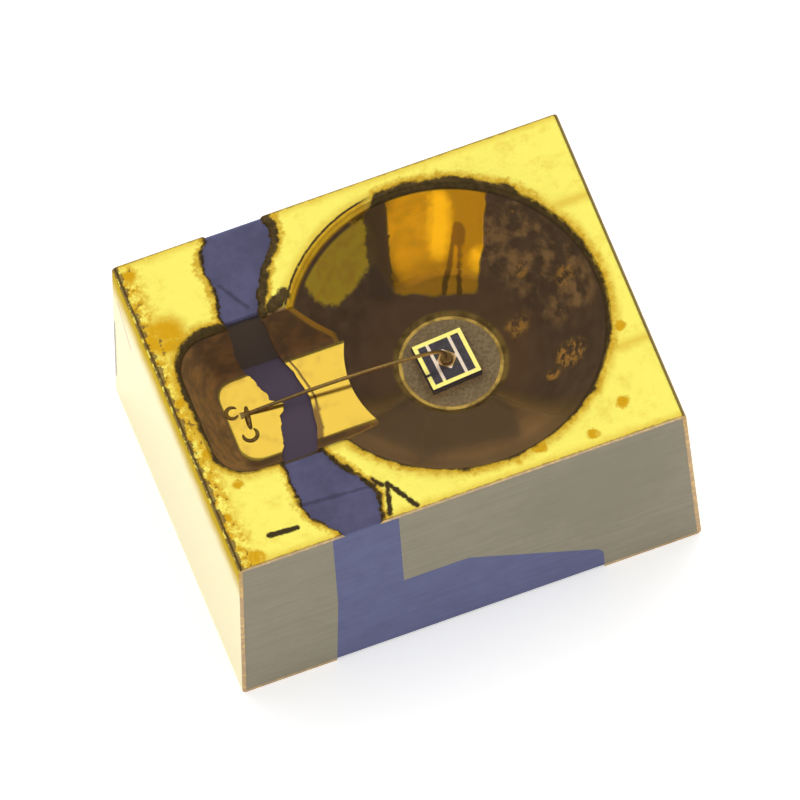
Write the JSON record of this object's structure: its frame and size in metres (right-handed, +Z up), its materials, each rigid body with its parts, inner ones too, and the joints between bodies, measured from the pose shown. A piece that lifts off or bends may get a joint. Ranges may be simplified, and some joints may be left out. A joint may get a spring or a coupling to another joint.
{
  "type": "infrared led",
  "caption": "Surface-mount infrared LED: plated two-shot moulded block with a parabolic reflector cup, emitter chip, bond wire in its pocket and clear resin fill.",
  "frame": {"origin": "middle of the solder face, at the foot of the package", "axes": "+X along the length towards the reflector cup's end, +Y across the width, +Z up, the way the light leaves"},
  "size_m": [0.0032, 0.0024, 0.0017],
  "materials": {
    "platable_plastic": "grey filled plastic, sawn on two sides with faint lengthwise streaks",
    "bare_plastic": "violet filled plastic, matt, that takes no plating",
    "gold_plating": "gold over copper, satin, with specks and brown tarnish towards its edges",
    "silver_adhesive": "silver-filled conductive adhesive, grey-brown and granular",
    "semiconductor": "polished dark blue-violet crystal",
    "contact_gold": "bright vapour-deposited gold",
    "wire_gold": "drawn gold wire",
    "clear_resin": "clear cast resin, smooth"
  },
  "bodies": {
    "root": {"wire_end_block": "platable_plastic", "cup_end_block": "platable_plastic", "insulator": "bare_plastic", "wire_end_plating": "gold_plating", "cup_end_plating": "gold_plating", "die_attach": "silver_adhesive", "led_chip": "semiconductor", "chip_contact": "contact_gold", "bond_wire": "wire_gold", "encapsulant": "clear_resin"}
  },
  "joints": []
}
